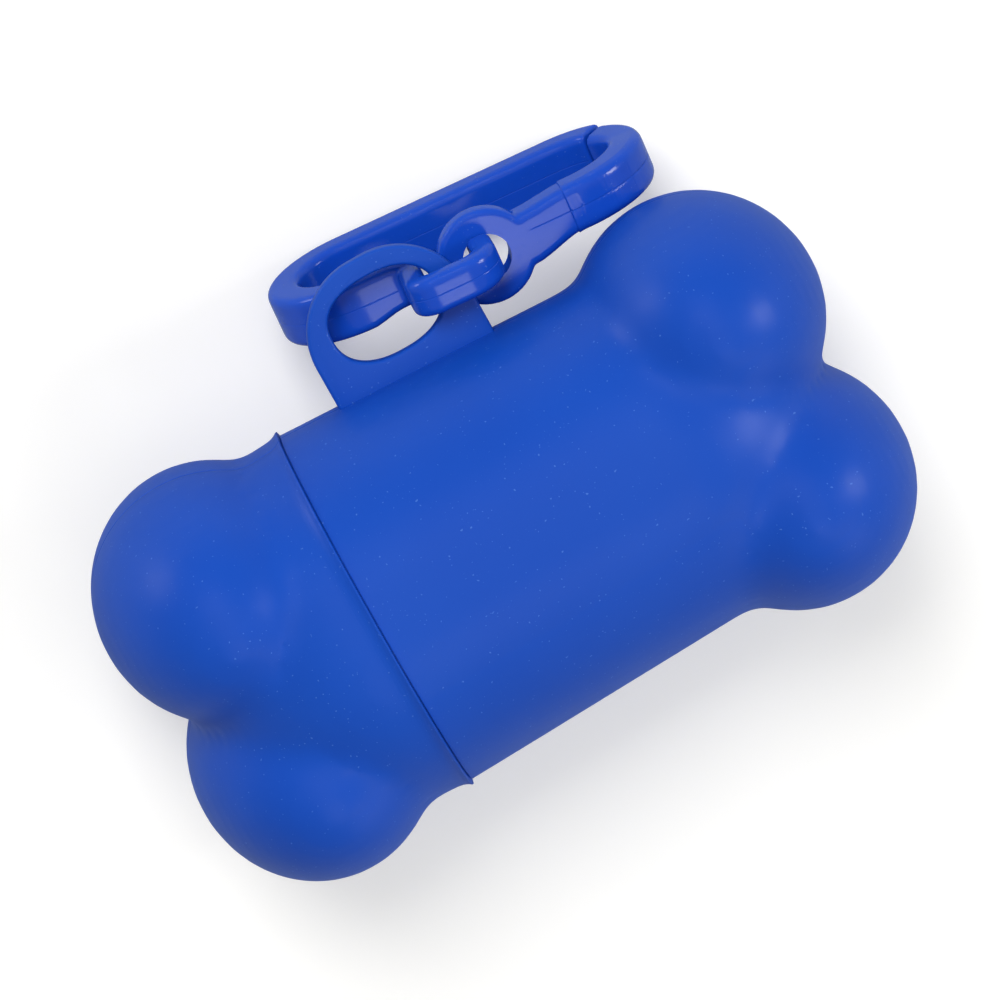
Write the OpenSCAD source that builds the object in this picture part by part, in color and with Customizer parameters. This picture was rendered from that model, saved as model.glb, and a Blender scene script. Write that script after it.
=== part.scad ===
// Bone-shaped dispenser for a roll of waste bags, with a pull-off end cap,
// a bail plate in the mould's parting plane and a two-piece snap clip.
// The bone lies along X with its cap at -X, the bail plate points to +Y, and
// the bags leave through the slot underneath. The origin is the middle of
// the whole part's footprint, on the face that it rests on. Sizes are in
// millimetres.

/* [Barrel] */
// Radius of the barrel at the seam
barrel_r = 20.55; // [20.3:0.05:20.8]
// Radius of the barrel where its domed end starts
dome_r = 19.6; // [19.3:0.05:19.9]
// How far the roll of bags reaches into the domed end
roll_in_dome = 10; // [9.7:0.1:10.3]
// How far the roll of bags reaches past the seam into the cap
roll_past_seam = 12.9; // [12.1:0.1:13.9]
// Wall of the body and the cap
wall = 1.5; // [1.3:0.05:1.6]

/* [Bulbs] */
// Radius of each of the four bulbs, seen from above
bulb_r = 13.2; // [12.9:0.1:13.5]
// How far the bulbs' centres lie beyond the ends of the roll
bulb_past_roll = 0.8; // [0.3:0.1:1.1]
// Distance of the bulbs' centres from the bone's axis
bulb_y = 10.4; // [10.1:0.1:10.7]
// How far the bulbs reach up and down from the parting plane
bulb_depth = 18.6; // [17.6:0.1:19]
// How much tighter a bulb is rounded at its poles than at its belly
pole_less = 3.7; // [3.2:0.1:4.2]

/* [Cap] */
// Radius of the cap's skirt and dome
cap_r = 20.7; // [20.6:0.05:20.85]
// How far the roll of bags reaches into the cap's dome
roll_in_cap = 11.1; // [10.7:0.1:11.3]
// How far the cap is turned on its round neck
cap_turn = 8; // [0:1:12]
// How far the cap's lip stands proud of its skirt
lip_rise = 0.25; // [0.15:0.05:0.4]
// Width of the lip
lip_w = 1.3; // [0.8:0.1:1.6]
// Gap between the cap's rim and the body's shoulder
seam_gap = 0.2; // [0.15:0.05:0.3]
// Length of the neck that the cap pushes over
neck_len = 5; // [4:0.2:5.4]
// Radial gap between the neck and the cap
neck_gap = 0.15; // [0.1:0.05:0.2]

/* [Bail plate] */
// Width of the plate along the bone
plate_w = 17.9; // [17:0.1:18.5]
// Distance of the plate's top edge from the bone's axis
plate_top = 33.8; // [33.4:0.1:34.6]
// Thickness of the plate
plate_t = 2; // [1.8:0.1:2.1]
// Radius of the plate's upper corners
plate_corner = 7.2; // [6:0.2:8]
// Middle of the plate along the bone
plate_x = 0.7; // [0.4:0.05:1.2]
// Length of the oval hole
eye_len = 12.2; // [12:0.1:12.4]
// Height of the oval hole
eye_h = 8.8; // [8.7:0.1:9.2]
// Distance of the hole's middle from the bone's axis
eye_y = 27.2; // [27:0.1:27.4]

/* [Slot] */
// Length of the slot that the bags leave through
slot_len = 28; // [22:1:30]
// Width of the slot
slot_w = 6; // [5:0.5:7]
// Width of the raised rim round the slot
rim_w = 3.2; // [2.6:0.2:4]
// Distance of the rim's face from the bone's axis
rest_z = 21.4; // [21.3:0.05:21.8]
// Distance from the seam to the slot's rim
rim_from_seam = 0.4; // [0.3:0.1:1]

/* [Bags] */
// Length of the roll of bags
roll_len = 57; // [56:0.5:60]
// Radius of the full roll
roll_r = 14; // [11:0.5:14.4]
// Outer radius of the cardboard core
core_r = 8.5; // [7:0.5:9.5]
// Wall of the cardboard core
core_wall = 1.2; // [0.8:0.1:2]
// How far the core stands out of the roll at each end
core_proud = 0.5; // [0.3:0.1:0.8]
// Gap between the roll's ends and the wall that carries them
roll_gap = 0.3; // [0.2:0.1:0.6]

/* [Clip] */
// Length of the clip's loop
loop_len = 43.7; // [42.6:0.1:44.6]
// Width of the clip's loop
loop_w = 18.6; // [18:0.1:18.8]
// Thickness of the loop's band, across the loop
band_t = 3.8; // [3.4:0.1:4]
// Height of the loop's band, along the loop's axis
band_h = 5.8; // [5.4:0.1:6]
// Rounding of the band's edges
band_round = 1.2; // [0.8:0.1:1.4]
// Height of the hook and of the arm that carries it
hook_h = 4.2; // [3.8:0.1:4.4]
// Height of the gate's arm beside its eye
arm_h = 5.8; // [5.4:0.1:6]
// Height of the gate's head
head_h = 5; // [4.6:0.1:5.4]
// Length of the stretch where the gate's arm rises to its head
rise_len = 6; // [5:0.5:7]
// Thickness of the hook
hook_t = 2.6; // [2.4:0.1:2.7]
// Half of the space inside the hook, round the plate's strip
hook_room = 2.3; // [2.3:0.05:2.5]
// Outer radius of the gate's eye
gate_eye_r = 5.3; // [5.1:0.05:5.5]
// Radius of the hole in the gate's eye
gate_hole_r = 2.6; // [2.5:0.05:2.8]
// Thickness of the gate's eye
gate_eye_t = 2.4; // [2:0.1:2.6]
// Height of the peg on the hook's nose, which the eye turns on
peg_h = 3.2; // [3:0.1:3.4]
// How far the peg stands out behind the eye
peg_past = 0.5; // [0.3:0.1:0.8]
// Gap between the tips of the frame and the gate
latch_gap = 0.35; // [0.3:0.05:0.5]
// Thickness of the tongue on the frame's tip
tongue_t = 1.4; // [1.2:0.1:1.5]
// Height of the tongue
tongue_h = 2.6; // [2.2:0.1:3]
// Angle that the tongue reaches into the gate's head
tongue_angle = 14; // [10:1:16]
// Gap round the tongue in its pocket
pocket_gap = 0.5; // [0.45:0.05:0.6]
// Angle of the latch joint round the loop's end
latch_angle = 48; // [44:1:54]
// How far the clip leans from the plate
clip_lean = 8.8; // [7.6:0.1:9]
// How far the clip is turned across the bone
clip_yaw = 4.5; // [3:0.5:4.5]

/* [Hidden] */
$fn = 64;

shell_blue = "#1f4fd0";
clip_blue = "#1a3fb4";
film_black = "#2b2c30";
card_brown = "#b08a5c";

// Body: the roll sets the places of the seam, the domes and the bulbs.
dome_x = roll_len / 2 - roll_in_dome;
seam_x = roll_len / 2 - roll_past_seam;
bulb_x = roll_len / 2 + bulb_past_roll;
inner_dome_r = dome_r - wall;
inner_bulb_r = bulb_r - wall;
neck_inner_r = barrel_r - 2 * wall - neck_gap;
neck_r = neck_inner_r + wall;
shoulder_len = 3;
slot_x = slot_len / 2 + rim_w + rim_from_seam - seam_x;

// Cap.
cap_dome_x = roll_len / 2 - roll_in_cap;
cap_bore_r = neck_r + neck_gap;
cap_rim_x = seam_x + seam_gap;
cap_bore_x = seam_x + neck_len + 0.4;

// Bags: the roll drops until its end corners lie on the body's dome.
carry_r = inner_dome_r - roll_gap;
roll_corner = sqrt(pow(carry_r, 2) - pow(roll_len / 2 - dome_x, 2));
roll_drop = roll_corner - roll_r;

// Clip: u runs along the loop, v along its axis and w towards the viewer.
// The clip hangs on the strip between the plate's hole and its side edge.
plate_edge = plate_x + plate_w / 2;
hole_edge = plate_x + eye_len / 2;
strip_x = (plate_edge + hole_edge) / 2;
hang_y = eye_y + 0.1;
near_w = -hook_room - 0.1;
mid_r = (loop_w - band_t) / 2;
loop_mid_w = near_w - loop_w / 2;
loop_left = -18.4;
left_u = loop_left + loop_w / 2;
right_u = loop_left + loop_len - loop_w / 2;
hook_mid = hook_room + hook_t / 2;
arm_mid_w = near_w - band_t / 2;
narrow_from = left_u + 0.5;
narrow_len = 2.3;
peg_u = 4.4;
peg_v = -0.4;
gate_u = 4.6;
gate_v = -0.8;
arm_v = -1;
gap_angle = asin(latch_gap / mid_r);
gate_start = gap_angle - latch_angle;
head_rise = (band_h - head_h) / 2;
pocket_past = 4;
nose_r = 1.4;
shoulder_gap = 0.3;
root_r = 0.4;

// Points of a rectangle with round corners, middle at the origin.
function round_box(a, b, r, steps = 4) =
    [for (corner = [[1, 1, 0], [-1, 1, 90], [-1, -1, 180], [1, -1, 270]])
        for (i = [0:steps])
            let (t = corner[2] + 90 * i / steps)
                [corner[0] * (a / 2 - r) + r * cos(t), corner[1] * (b / 2 - r) + r * sin(t)]];

// Turns a shape made round +Z so that it runs along +X.
module along_x() {
    rotate([0, 90, 0]) children();
}

// Half profile of a round shell: x is the radius and y runs along the bone.
module barrel_profile(start, end, r_start, r_dome, dome) {
    polygon([[0, start], [r_start, start], [r_dome, end], [0, end]]);
    translate([0, dome]) intersection() {
        circle(r = r_dome, $fn = 128);
        square([r_dome + 1, r_dome + 1]);
    }
}

// Both bulbs at one end. Each is round seen from above, and deeper than it is
// wide: an arc round its belly runs smoothly into a tighter one at its pole.
module bulbs(r, depth) {
    pole = r - pole_less;
    belly = (pow(depth - pole, 2) + pow(r, 2) - pow(pole, 2)) / (2 * (r - pole));
    touch = belly / (belly - pole);
    for (side = [-1, 1])
        translate([bulb_x, side * bulb_y, 0])
            for (up = [0, 180]) rotate([up, 0, 0]) rotate_extrude($fn = 96) {
                intersection() {
                    translate([r - belly, 0]) circle(r = belly, $fn = 192);
                    square([r + 1, (depth - pole) * touch]);
                }
                translate([0, depth - pole]) intersection() {
                    circle(r = pole, $fn = 128);
                    square([r + 1, r + 1]);
                }
            }
}

// Places a part of the bone, drawn round its own axis, in the part's frame.
module on_rest() {
    translate([0, -(plate_top - bulb_y - bulb_r) / 2, rest_z]) children();
}

// The plate's outline in the parting plane, with its hole.
module plate_outline() {
    base = dome_r - 0.6;
    difference() {
        union() {
            translate([plate_x - plate_w / 2, base]) square([plate_w, plate_top - plate_corner - base]);
            translate([plate_x - plate_w / 2 + plate_corner, base])
                square([plate_w - 2 * plate_corner, plate_top - base]);
            for (side = [-1, 1])
                translate([plate_x + side * (plate_w / 2 - plate_corner), plate_top - plate_corner])
                    circle(r = plate_corner, $fn = 96);
        }
        translate([plate_x, eye_y]) plate_hole();
    }
}

module plate_hole() {
    half = (eye_len - eye_h) / 2;
    square([2 * half, eye_h], center = true);
    for (side = [-1, 1])
        translate([side * half, 0]) circle(r = eye_h / 2, $fn = 96);
}

module body_shell() {
    color(shell_blue) on_rest() difference() {
        union() {
            along_x() rotate_extrude($fn = 128)
                barrel_profile(-seam_x, dome_x, barrel_r, dome_r, dome_x);
            bulbs(bulb_r, bulb_depth);
            translate([-seam_x - neck_len, 0, 0]) along_x() cylinder(h = neck_len + 1, r = neck_r);
            translate([0, 0, -plate_t / 2]) linear_extrude(plate_t) plate_outline();
            translate([slot_x, 0, -rest_z])
                linear_extrude(rest_z - dome_r + 1)
                    polygon([for (p = round_box(slot_len + 2 * rim_w, slot_w + 2 * rim_w, rim_w)) p]);
        }
        along_x() rotate_extrude($fn = 128)
            barrel_profile(shoulder_len - seam_x, dome_x, barrel_r - wall, inner_dome_r, dome_x);
        bulbs(inner_bulb_r, bulb_depth - wall);
        translate([-seam_x - neck_len - 1, 0, 0])
            along_x() cylinder(h = neck_len + shoulder_len + 2, r = neck_inner_r);
        translate([slot_x, 0, -rest_z - 1])
            linear_extrude(rest_z)
                polygon([for (p = round_box(slot_len, slot_w, slot_w / 2 - 0.2)) p]);
    }
}

module end_cap() {
    color(shell_blue) on_rest() rotate([cap_turn, 0, 0]) mirror([1, 0, 0]) difference() {
        union() {
            along_x() rotate_extrude($fn = 128) {
                barrel_profile(cap_rim_x, cap_dome_x, cap_r, cap_r, cap_dome_x);
                translate([0, cap_rim_x]) square([cap_r + lip_rise, lip_w]);
            }
            bulbs(bulb_r, bulb_depth);
        }
        along_x() rotate_extrude($fn = 128)
            barrel_profile(cap_rim_x - 1, cap_dome_x, cap_r - wall - 0.3, cap_r - wall, cap_dome_x);
        bulbs(inner_bulb_r, bulb_depth - wall);
        translate([cap_rim_x - 1, 0, 0])
            along_x() cylinder(h = cap_bore_x - cap_rim_x + 1, r = cap_bore_r);
    }
}

// Lays a round piece along the roll's own axis.
module on_roll_axis() {
    on_rest() translate([0, 0, -roll_drop]) along_x() children();
}

module bag_roll() {
    color(film_black) on_roll_axis() difference() {
        cylinder(h = roll_len, r = roll_r, center = true);
        cylinder(h = roll_len + 2, r = core_r, center = true);
    }
}

module roll_core() {
    color(card_brown) on_roll_axis() difference() {
        cylinder(h = roll_len + 2 * core_proud, r = core_r, center = true);
        cylinder(h = roll_len + 4, r = core_r - core_wall, center = true);
    }
}

// Puts a shape drawn in the clip's own directions where the clip hangs.
module on_clip() {
    on_rest() translate([strip_x, hang_y, 0])
        rotate([0, 0, -clip_yaw]) rotate([clip_lean, 0, 0]) children();
}

// A straight bar along u, its section rounded.
module bar_u(from, to, w, t, h) {
    translate([from, 0, w]) rotate([90, 0, 90])
        linear_extrude(to - from) polygon(round_box(h, t, band_round));
}

// A straight bar along w.
module bar_w(from, to, u, t, h) {
    translate([u, 0, from]) linear_extrude(to - from) polygon(round_box(t, h, band_round));
}

// A bend of the same section round the v direction, its angles counted
// from +u towards +w.
module bend(u, w, r, start, sweep, t, h, round = band_round) {
    translate([u, 0, w]) rotate([90, 0, 0]) rotate([0, 0, start])
        rotate_extrude(angle = sweep, $fn = 96)
            translate([r, 0]) polygon(round_box(t, h, round));
}

// Wedges that narrow the frame's near arm from the band's height to the
// hook's.
module arm_wedges(thick_u, thin_u) {
    over = 3;
    for (side = [0, 1]) mirror([0, side, 0])
        translate([0, 0, near_w - band_t - 1]) linear_extrude(band_t + 2)
            polygon([[thick_u, band_h / 2 + 0.01], [thin_u, hook_h / 2], [0, hook_h / 2],
                     [0, band_h / 2 + over], [thick_u, band_h / 2 + over]]);
}

module hook() {
    leg_u = -hook_mid;
    root_turn = root_r + hook_t / 2;
    nose_turn = nose_r + hook_t / 2;
    bar_w(arm_mid_w, hook_mid - root_turn, leg_u, hook_t, hook_h);
    bend(leg_u + root_turn, hook_mid - root_turn, root_turn, 90, 90, hook_t, hook_h);
    bar_u(leg_u + root_turn, peg_u - nose_turn, hook_mid, hook_t, hook_h);
    bend(peg_u - nose_turn, hook_mid - nose_turn, nose_turn, 0, 90, hook_t, hook_h);
    bar_w(near_w + shoulder_gap, hook_mid - nose_turn, peg_u, hook_t, hook_h);
    translate([0, peg_v, 0])
        bar_w(near_w - gate_eye_t - peg_past, near_w + shoulder_gap + 0.1, peg_u, hook_t, peg_h);
}

// The frame's tongue, or the pocket for it where grow is more than zero.
module tongue(grow, reach) {
    deep = grow > 0 ? band_h : 0;
    rooted = 6;
    edge_round = 0.3;
    translate([0, -deep / 2, 0])
        bend(right_u, loop_mid_w, mid_r, -latch_angle - rooted, rooted + reach,
             tongue_t + 2 * grow, tongue_h + 2 * grow + deep, edge_round);
}

module clip_frame() {
    color(clip_blue) on_clip() {
        difference() {
            union() {
                bend(left_u, loop_mid_w, mid_r, 90, 180, band_t, band_h);
                bar_u(left_u, -hook_room, arm_mid_w, band_t, band_h);
                bar_u(left_u, right_u, loop_mid_w - mid_r, band_t, band_h);
            }
            arm_wedges(narrow_from, narrow_from + narrow_len);
        }
        bend(right_u, loop_mid_w, mid_r, -90, 90 - latch_angle, band_t, band_h);
        tongue(0, gap_angle + tongue_angle);
        hook();
    }
}

// The gate's near arm, which rises from the eye to the head.
module gate_arm() {
    eye_end = gate_u + gate_hole_r + 1.2;
    low = arm_v - arm_h / 2;
    head_u = right_u + 0.1;
    ease = arm_h / 18;
    head_low = head_rise - head_h / 2;
    translate([0, 0, near_w - band_t]) linear_extrude(band_t)
        polygon([[eye_end, low], [right_u - rise_len * 2 / 3, low + ease], [head_u, head_low],
                 [head_u, head_low + head_h], [right_u - rise_len / 2, head_low + head_h - ease],
                 [right_u - rise_len, low + arm_h + ease], [eye_end, low + arm_h]]);
}

module clip_gate() {
    color(clip_blue) on_clip() difference() {
        union() {
            translate([0, head_rise, 0])
                bend(right_u, loop_mid_w, mid_r, gate_start, 90 - gate_start, band_t, head_h);
            gate_arm();
            translate([gate_u, gate_v, near_w - gate_eye_t]) cylinder(h = gate_eye_t, r = gate_eye_r);
        }
        translate([gate_u, gate_v, near_w - band_t - 1]) cylinder(h = band_t + 2, r = gate_hole_r);
        tongue(pocket_gap, gap_angle + tongue_angle + pocket_past);
    }
}

body_shell();
end_cap();
bag_roll();
roll_core();
clip_frame();
clip_gate();
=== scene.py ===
"""Dresses the bone-shaped bag dispenser: shells, snap clip, bags and studio."""
import contextlib
import logging
import math
import random
from dataclasses import dataclass, field
from enum import Enum
from typing import Callable, Iterator, Sequence

import bmesh
import bpy
from mathutils import Matrix, Vector, noise


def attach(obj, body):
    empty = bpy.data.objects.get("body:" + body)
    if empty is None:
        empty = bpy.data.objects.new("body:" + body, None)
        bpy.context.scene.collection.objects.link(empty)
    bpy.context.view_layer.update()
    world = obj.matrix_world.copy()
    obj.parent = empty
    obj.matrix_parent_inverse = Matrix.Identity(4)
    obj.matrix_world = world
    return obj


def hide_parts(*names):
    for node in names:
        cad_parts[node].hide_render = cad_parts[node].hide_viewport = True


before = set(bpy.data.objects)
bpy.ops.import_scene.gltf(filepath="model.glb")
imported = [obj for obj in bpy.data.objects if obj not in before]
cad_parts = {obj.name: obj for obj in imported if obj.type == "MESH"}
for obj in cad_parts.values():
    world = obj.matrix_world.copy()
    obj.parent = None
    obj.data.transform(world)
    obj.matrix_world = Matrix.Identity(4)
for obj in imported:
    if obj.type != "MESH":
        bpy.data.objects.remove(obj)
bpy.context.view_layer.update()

logging.basicConfig(level=logging.INFO, format="%(message)s")
LOG = logging.getLogger("dispenser")

Obj = bpy.types.Object
Socket = bpy.types.NodeSocket

MM = 0.001
PLATE_TOP = 33.8
BULB_Y = 10.4
BULB_R = 13.2
BULB_X = 29.3
BULB_DEPTH = 19.0
WALL = 1.5
REST_Z = 21.4
SEAM_X = 15.6
AXIS_Y = -(PLATE_TOP - BULB_Y - BULB_R) / 2
BONE_CENTRE = Vector((0.0, AXIS_Y * MM, REST_Z * MM))
SEAM_GAP = 0.2
ROUND_STEPS = 192
SMOOTH_ANGLE = math.radians(42)
SKIN_ANGLE = math.radians(75)


class Slot(Enum):
    """The record's material slots."""

    SHELL = "shell_plastic"
    CLIP = "clip_plastic"
    FILM = "bag_film"
    CARD = "core_card"


# A finished piece, the body it moves with, the CAD node it stands for and its slot.
Dressed = tuple[Obj, str, str, Slot]


# ---- Bench: small tools around the modelling operators ----

def only(obj: Obj) -> Obj:
    """Select one object alone and make it active.

    Args:
        obj: The object to work on.

    Returns:
        The same object.
    """
    for other in bpy.context.selected_objects:
        other.select_set(False)
    obj.select_set(True)
    bpy.context.view_layer.objects.active = obj
    return obj


def named(name: str) -> Obj:
    """Give the primitive that was just added its name, and return it."""
    obj = only(bpy.context.active_object)
    obj.name = name
    obj.data.name = name
    return obj


@contextlib.contextmanager
def editing(obj: Obj) -> Iterator[None]:
    """Edit mode on one object, with nothing selected at the start.

    Args:
        obj: The object to edit.
    """
    only(obj)
    bpy.ops.object.mode_set(mode="EDIT")
    bpy.ops.mesh.select_mode(type="VERT")
    bpy.ops.mesh.select_all(action="DESELECT")
    yield
    bpy.ops.object.mode_set(mode="OBJECT")


def select_where(test: Callable[[Vector], bool]) -> None:
    """Select the vertices of the edited mesh whose place passes a test.

    Args:
        test: Says whether a vertex at this place is wanted.
    """
    mesh = bpy.context.edit_object.data
    draft = bmesh.from_edit_mesh(mesh)
    for vert in draft.verts:
        vert.select = test(vert.co)
    draft.select_flush_mode()
    bmesh.update_edit_mesh(mesh)


def select_edges(test: Callable[[Vector, Vector], bool]) -> None:
    """Select the edges of the edited mesh whose two ends pass a test.

    Args:
        test: Says whether an edge between these two places is wanted.
    """
    bpy.ops.mesh.select_mode(type="EDGE")
    mesh = bpy.context.edit_object.data
    draft = bmesh.from_edit_mesh(mesh)
    for edge in draft.edges:
        edge.select = test(edge.verts[0].co, edge.verts[1].co)
    draft.select_flush_mode()
    bmesh.update_edit_mesh(mesh)


def finish_with(obj: Obj, kind: str, **settings: object) -> None:
    """Add a modifier with its settings and apply it.

    Args:
        obj: The object to change.
        kind: The modifier's type.
        **settings: Its settings by name.
    """
    only(obj)
    modifier = obj.modifiers.new(kind.title(), kind)
    for key, value in settings.items():
        setattr(modifier, key, value)
    bpy.ops.object.modifier_apply(modifier=modifier.name)


def round_sharp(obj: Obj, width: float, angle: float, segments: int = 4) -> None:
    """Round the edges of a piece that are sharper than an angle.

    Args:
        obj: The piece.
        width: Width of the rounding, in millimetres.
        angle: The angle, in degrees.
        segments: Facets of the rounding.
    """
    finish_with(obj, "BEVEL", width=width * MM, segments=segments, limit_method="ANGLE",
                angle_limit=math.radians(angle))


def fuse(obj: Obj, voxel: float, passes: int) -> None:
    """Turn overlapping solids into one skin, and smooth it.

    Args:
        obj: The joined solids.
        voxel: Size of the skin's facets, in millimetres.
        passes: Number of smoothing passes.
    """
    finish_with(obj, "REMESH", mode="VOXEL", voxel_size=voxel * MM)
    finish_with(obj, "SMOOTH", factor=0.5, iterations=passes)


def joined(name: str, parts: Sequence[Obj]) -> Obj:
    """Join several objects into the first of them.

    Args:
        name: Name of the result.
        parts: The objects to join.

    Returns:
        The joined object.
    """
    only(parts[0])
    for part in parts:
        part.select_set(True)
    bpy.ops.object.join()
    return named(name)


def cut_with(obj: Obj, cutter: Obj) -> None:
    """Take one solid out of another, and throw the cutter away.

    Args:
        obj: The object to cut.
        cutter: The solid to take out of it.
    """
    finish_with(obj, "BOOLEAN", operation="DIFFERENCE", object=cutter, solver="EXACT")
    bpy.data.objects.remove(cutter, do_unlink=True)


def settle(obj: Obj, place: Matrix) -> Obj:
    """Move a piece to its place and put that place into its mesh.

    Args:
        obj: The finished piece.
        place: Where its own origin and directions go.

    Returns:
        The same piece, at the origin and unturned.
    """
    only(obj)
    obj.matrix_world = place @ obj.matrix_world
    bpy.ops.object.transform_apply()
    return obj


def soften_shading(obj: Obj, angle: float = SMOOTH_ANGLE) -> None:
    """Shade a piece smooth, except at edges sharper than an angle."""
    only(obj)
    bpy.ops.object.shade_smooth_by_angle(angle=angle)


def face_outwards(obj: Obj, merge: float = 0.001) -> None:
    """Merge doubled vertices and turn all faces outwards.

    Args:
        obj: The object to clean.
        merge: Distance under which vertices are merged, in millimetres.
    """
    with editing(obj):
        bpy.ops.mesh.select_all(action="SELECT")
        bpy.ops.mesh.remove_doubles(threshold=merge * MM)
        bpy.ops.mesh.normals_make_consistent(inside=False)


def slice_at(point: Sequence[float], normal: Sequence[float], clear: bool = False) -> None:
    """Cut the edited mesh along a plane.

    Args:
        point: A point of the plane, in millimetres.
        normal: The plane's direction.
        clear: Whether to drop what lies on the normal's side.
    """
    bpy.ops.mesh.select_all(action="SELECT")
    bpy.ops.mesh.bisect(plane_co=[c * MM for c in point], plane_no=normal,
                        clear_outer=clear, threshold=1e-7)


def crease_line(obj: Obj, axis: int, width: float, depth: float,
                start: float = -math.inf) -> None:
    """Press the mould's parting line round a piece as a fine groove.

    Args:
        obj: The piece, still in its own directions.
        axis: Index of the direction across the parting plane.
        width: Width of the groove, in millimetres.
        depth: Depth of the groove, in millimetres.
        start: Place along X where the groove begins, in millimetres.
    """
    normal = [0.0, 0.0, 0.0]
    normal[axis] = 1.0
    with editing(obj):
        for offset in (-width / 2, 0.0, width / 2):
            slice_at([offset * n for n in normal], normal)
        bpy.ops.mesh.select_all(action="DESELECT")
        select_where(lambda co: abs(co[axis]) < 0.02 * width * MM and co.x > start * MM)
        bpy.ops.transform.shrink_fatten(value=-depth * MM)


def ring(name: str, profile: Sequence[tuple[float, float]], steps: int = 128) -> Obj:
    """Turn a closed profile round the X axis.

    Args:
        name: Name of the new piece.
        profile: Points (place along X, radius), in millimetres.
        steps: Number of steps of the turn.

    Returns:
        The new ring, with its faces outwards.
    """
    bpy.ops.mesh.primitive_circle_add(vertices=len(profile), radius=MM, fill_type="NOTHING")
    obj = named(name)
    for vert, (along, radius) in zip(obj.data.vertices, profile):
        vert.co = (along * MM, radius * MM, 0.0)
    with editing(obj):
        bpy.ops.mesh.select_all(action="SELECT")
        bpy.ops.mesh.spin(steps=steps, angle=math.tau, center=(0, 0, 0), axis=(1, 0, 0))
    face_outwards(obj)
    return obj


def block(name: str, size: Sequence[float], centre: Sequence[float]) -> Obj:
    """Add a box of a given size and place, ready to be shaped.

    Args:
        name: Name of the new piece.
        size: Its size along X, Y and Z, in millimetres.
        centre: Its middle, in millimetres.

    Returns:
        The new box, with its scale applied.
    """
    bpy.ops.mesh.primitive_cube_add(size=1)
    obj = named(name)
    obj.scale = [side * MM for side in size]
    obj.location = [c * MM for c in centre]
    bpy.ops.object.transform_apply()
    return obj


def round_along(obj: Obj, axis: int, radius: float, segments: int = 6,
                test: Callable[[Vector], bool] = lambda middle: True) -> None:
    """Round the edges of a box that run along one direction.

    Args:
        obj: The box.
        axis: Index of the direction that the edges run in.
        radius: Radius of the rounding, in millimetres.
        segments: Facets of the rounding.
        test: Says whether the edge with this middle is wanted.
    """
    others = [i for i in range(3) if i != axis]

    def wanted(a: Vector, b: Vector) -> bool:
        """Say whether an edge runs along the axis and passes the test."""
        return (abs(a[axis] - b[axis]) > 1e-6
                and all(abs(a[i] - b[i]) < 1e-7 for i in others) and test((a + b) / 2))

    with editing(obj):
        select_edges(wanted)
        bpy.ops.mesh.bevel(offset=radius * MM, segments=segments, affect="EDGES")


# ---- Finishes ----

class NodeSheet:
    """A material's node tree, with short calls to fill it."""

    def __init__(self, name: str) -> None:
        """Start an empty material with its output and Principled shader.

        Args:
            name: Name of the material.
        """
        self.material = bpy.data.materials.new(name)
        self.material.use_nodes = True
        self.nodes = self.material.node_tree.nodes
        self.nodes.clear()
        self.output = self.add("ShaderNodeOutputMaterial")
        self.shader = self.add("ShaderNodeBsdfPrincipled")
        self.link(self.shader.outputs[0], self.output.inputs[0])
        self.place = self.add("ShaderNodeTexCoord").outputs["Object"]

    def add(self, kind: str, **values: object) -> bpy.types.Node:
        """Add a node and set its sockets by name.

        Args:
            kind: The node's type.
            **values: Socket values, with underscores for spaces.

        Returns:
            The new node.
        """
        node = self.nodes.new(kind)
        for key, value in values.items():
            node.inputs[key.replace("_", " ")].default_value = value
        return node

    def link(self, source: Socket, target: Socket) -> None:
        """Join two sockets."""
        self.material.node_tree.links.new(source, target)

    def noise(self, scale: float, detail: float = 3.0, rough: float = 0.5,
              stretch: Sequence[float] = (1, 1, 1)) -> Socket:
        """Add a noise pattern in object space.

        Args:
            scale: Number of blotches in a metre.
            detail: Octaves of finer noise.
            rough: Strength of the finer octaves.
            stretch: Scale of the pattern along each direction.

        Returns:
            Its value from 0 to 1.
        """
        turn = self.add("ShaderNodeMapping")
        turn.inputs["Scale"].default_value = stretch
        self.link(self.place, turn.inputs["Vector"])
        pattern = self.add("ShaderNodeTexNoise", Scale=scale, Detail=detail, Roughness=rough)
        self.link(turn.outputs[0], pattern.inputs["Vector"])
        return pattern.outputs[0]

    def ramp(self, value: Socket, start: float, end: float,
             low: float, high: float) -> Socket:
        """Map a value between two limits onto a new range.

        Args:
            value: The value to map.
            start: Value that becomes low.
            end: Value that becomes high.
            low: Start of the new range.
            high: End of the new range.

        Returns:
            The mapped value.
        """
        node = self.add("ShaderNodeMapRange", From_Min=start, From_Max=end,
                        To_Min=low, To_Max=high)
        self.link(value, node.inputs["Value"])
        return node.outputs[0]

    def blend(self, share: Socket, first: object, second: object
              ) -> Socket:
        """Mix two colours.

        Args:
            share: How much of the second colour shows, from 0 to 1.
            first: A colour, or a socket that gives one.
            second: A colour, or a socket that gives one.

        Returns:
            The mixed colour.
        """
        node = self.add("ShaderNodeMix")
        node.data_type = "RGBA"
        self.link(share, node.inputs[0])
        for socket, colour in ((node.inputs[6], first), (node.inputs[7], second)):
            if isinstance(colour, Socket):
                self.link(colour, socket)
            else:
                socket.default_value = (*colour, 1.0)
        return node.outputs[2]

    def relief(self, heights: Sequence[tuple[Socket, float]]) -> None:
        """Stack bump patterns on the shader's normal.

        Args:
            heights: Each pattern with its depth in millimetres.
        """
        below = None
        for value, depth in heights:
            bump = self.add("ShaderNodeBump", Strength=1.0, Distance=depth * MM)
            self.link(value, bump.inputs["Height"])
            if below is not None:
                self.link(below, bump.inputs["Normal"])
            below = bump.outputs[0]
        self.link(below, self.shader.inputs["Normal"])


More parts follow.
